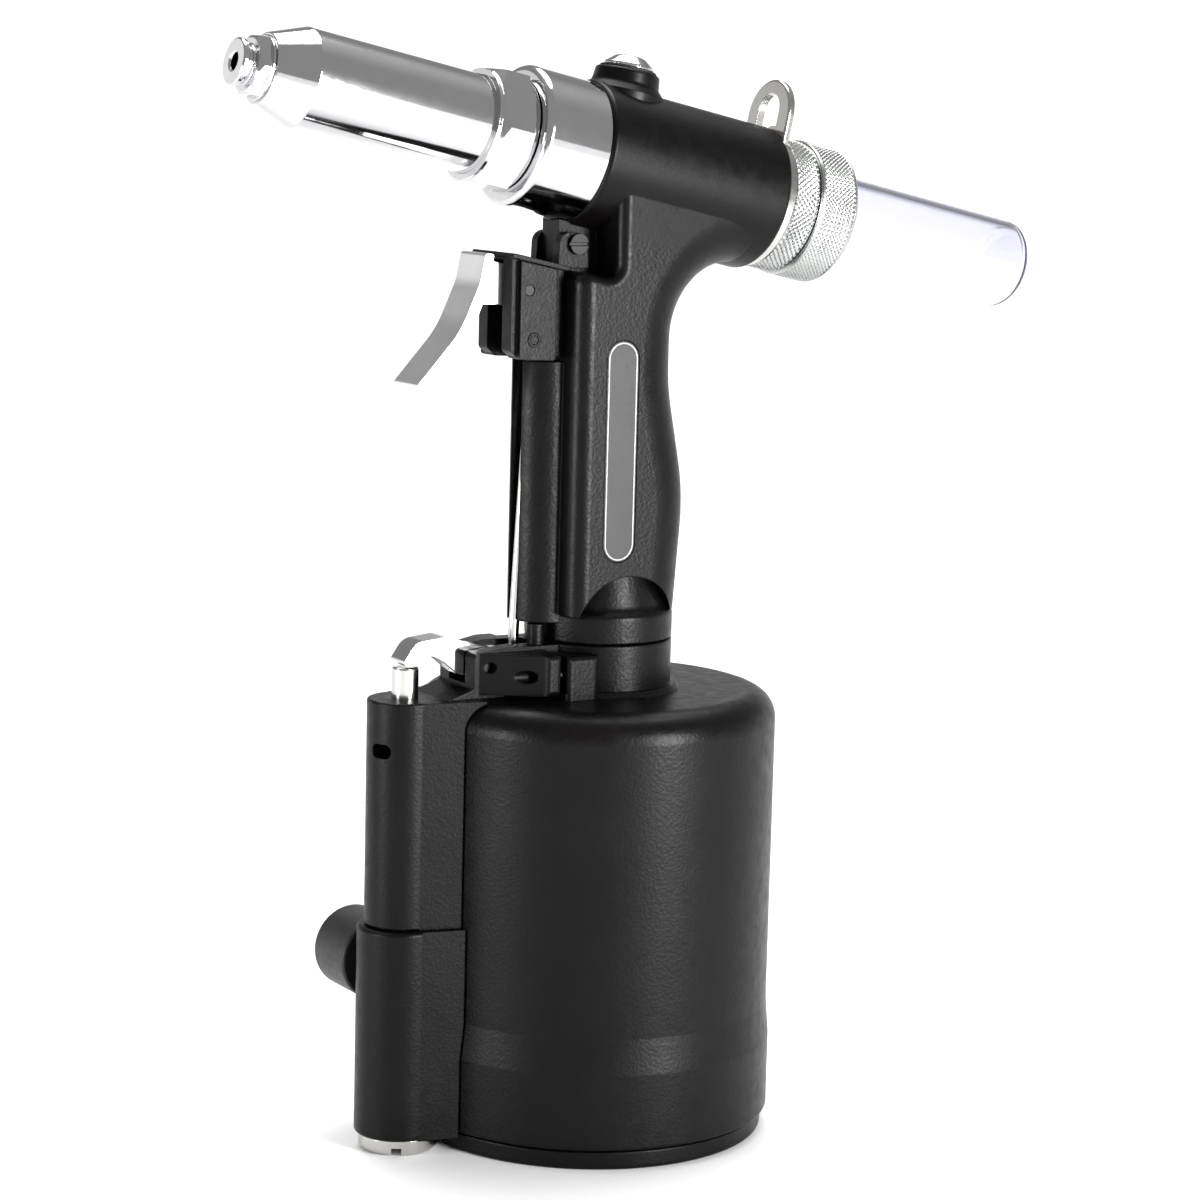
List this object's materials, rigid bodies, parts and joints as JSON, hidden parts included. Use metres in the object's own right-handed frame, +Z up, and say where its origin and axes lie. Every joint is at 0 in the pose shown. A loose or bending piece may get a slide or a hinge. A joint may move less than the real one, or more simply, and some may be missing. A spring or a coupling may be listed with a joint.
{
  "type": "pneumatic rivet gun",
  "caption": "Pistol-grip air-hydraulic blind rivet tool: tilted barrel with nosepiece, jaws and clear mandrel bottle, trigger linkage, side valve and upright air cylinder.",
  "frame": {"origin": "on the air cylinder's axis, at the base cover's bottom face", "axes": "+X forward to the nosepiece, +Y the tool's left, +Z up along the air cylinder"},
  "size_m": [0.2233, 0.09, 0.2667],
  "materials": {
    "black_coat": "fine leather-grain black powder coat on cast aluminium",
    "chrome": "bright chrome on steel",
    "polished_aluminium": "polished aluminium",
    "knurled_aluminium": "diamond knurled, plain",
    "plated_steel": "bright zinc or nickel plate",
    "blackened_steel": "black oxide on steel",
    "clear_plastic": "clear polycarbonate, faintly violet",
    "black_rubber": "nitrile rubber",
    "inlet_black": "smooth satin black",
    "label": "dark grey film with a pale border line",
    "hard_steel": "hardened and ground steel",
    "spring_steel": "oiled spring wire",
    "bronze": "turned bronze and brass",
    "machined_aluminium": "turned aluminium"
  },
  "bodies": {
    "tool": {"air_cylinder": "black_coat", "base_cover": "black_coat", "base_seal": "black_rubber", "bumper": "black_rubber", "clamp_screws": "blackened_steel", "front_collar": "chrome", "front_rod_seal": "black_rubber", "gland_seal": "black_rubber", "handle_casting": "black_coat", "hex_lock_nut": "chrome", "holder_screw": "blackened_steel", "housing_seal": "black_rubber", "inlet_stem": "plated_steel", "jaw_housing": "chrome", "label_plate": "label", "lever_pin": "blackened_steel", "nosepiece": "chrome", "oil_screw": "chrome", "oil_screw_washer": "black_rubber", "rear_cap": "machined_aluminium", "rear_lock_ring": "knurled_aluminium", "rod_gland": "bronze", "suspension_ring": "plated_steel", "trigger_holder": "black_coat", "trigger_pin": "blackened_steel", "valve_lower_housing": "black_coat", "valve_plug": "plated_steel", "valve_upper_housing": "black_coat"},
    "air_piston": {"air_piston": "machined_aluminium", "piston_rod": "hard_steel", "piston_seal": "black_rubber", "piston_nut": "hard_steel"},
    "pull_unit": {"head_piston": "hard_steel", "head_piston_seal": "black_rubber", "jaw_case": "hard_steel", "mandrel_tube": "hard_steel", "return_spring": "spring_steel"},
    "jaw_pusher": {"jaw_pusher": "hard_steel", "jaw_spring": "spring_steel"},
    "jaw_1": {"jaw_1": "hard_steel"},
    "jaw_2": {"jaw_2": "hard_steel"},
    "jaw_3": {"jaw_3": "hard_steel"},
    "collector": {"collector_cap": "knurled_aluminium", "collector_seal": "black_rubber"},
    "bottle": {"mandrel_bottle": "clear_plastic"},
    "trigger": {"trigger": "polished_aluminium"},
    "pull_rod": {"trigger_rod": "plated_steel", "rod_pin": "plated_steel", "rod_nut": "plated_steel"},
    "lever": {"lever": "chrome"},
    "valve": {"valve_pusher": "plated_steel", "valve_spool": "bronze", "spool_seals": "black_rubber", "valve_spring": "spring_steel"},
    "inlet": {"inlet_swivel": "inlet_black"}
  },
  "joints": [
    {"name": "air_piston_slide", "type": "slide", "parent": "tool", "child": "air_piston", "axis": [0, 0, 1], "range_m": [0, 0.0608]},
    {"name": "head_pull", "type": "slide", "parent": "tool", "child": "pull_unit", "axis": [-0.9781, 0, -0.2079], "range_m": [0, 0.016], "stiffness_N_per_m": 1500, "springref_m": -0.01, "deforming": ["return_spring"]},
    {"name": "jaw_pusher_slide", "type": "slide", "parent": "pull_unit", "child": "jaw_pusher", "axis": [-0.9781, 0, -0.2079], "range_m": [0, 0.0015], "stiffness_N_per_m": 1000, "springref_m": -0.003, "deforming": ["jaw_spring"]},
    {"name": "jaw_1_slide", "type": "slide", "parent": "pull_unit", "child": "jaw_1", "axis": [-1, 0, 0], "range_m": [0, 0.0015]},
    {"name": "jaw_2_slide", "type": "slide", "parent": "pull_unit", "child": "jaw_2", "axis": [-0.9352, -0.1801, -0.3051], "range_m": [0, 0.0015]},
    {"name": "jaw_3_slide", "type": "slide", "parent": "pull_unit", "child": "jaw_3", "axis": [-0.9352, 0.1801, -0.3051], "range_m": [0, 0.0015]},
    {"name": "collector_pull", "type": "slide", "parent": "tool", "child": "collector", "axis": [-0.9781, 0, -0.2079], "range_m": [0, 0.012]},
    {"name": "bottle_turn", "type": "hinge", "parent": "collector", "child": "bottle", "pos_m": [-0.07825, 0, 0.22087], "axis": [0.9781, 0, 0.2079], "continuous": true},
    {"name": "trigger_pull", "type": "hinge", "parent": "tool", "child": "trigger", "pos_m": [0.0267, 0, 0.2073], "axis": [0, 1, 0], "range_deg": [0, 22]},
    {"name": "rod_lift", "type": "slide", "parent": "tool", "child": "pull_rod", "axis": [0, 0, 1], "range_m": [0, 0.0027]},
    {"name": "lever_rock", "type": "hinge", "parent": "tool", "child": "lever", "pos_m": [0.0357, 0, 0.118], "axis": [0, 1, 0], "range_deg": [0, 13.3]},
    {"name": "valve_push", "type": "slide", "parent": "tool", "child": "valve", "axis": [0, 0, -1], "range_m": [0, 0.0043], "stiffness_N_per_m": 600, "springref_m": -0.005, "deforming": ["valve_spring"]},
    {"name": "inlet_turn", "type": "hinge", "parent": "tool", "child": "inlet", "pos_m": [0.0533, -0.0185, 0.044], "axis": [0, -1, 0], "continuous": true}
  ],
  "couplings": [
    {"joint": "head_pull", "follows": "air_piston_slide", "ratio": 0.26316},
    {"joint": "jaw_1_slide", "follows": "jaw_pusher_slide", "ratio": 1},
    {"joint": "jaw_2_slide", "follows": "jaw_pusher_slide", "ratio": 1},
    {"joint": "jaw_3_slide", "follows": "jaw_pusher_slide", "ratio": 1},
    {"joint": "trigger_pull", "follows": "valve_push", "rad_per_m": 88.78},
    {"joint": "rod_lift", "follows": "valve_push", "ratio": 0.61702},
    {"joint": "lever_rock", "follows": "valve_push", "rad_per_m": 53.191}
  ]
}
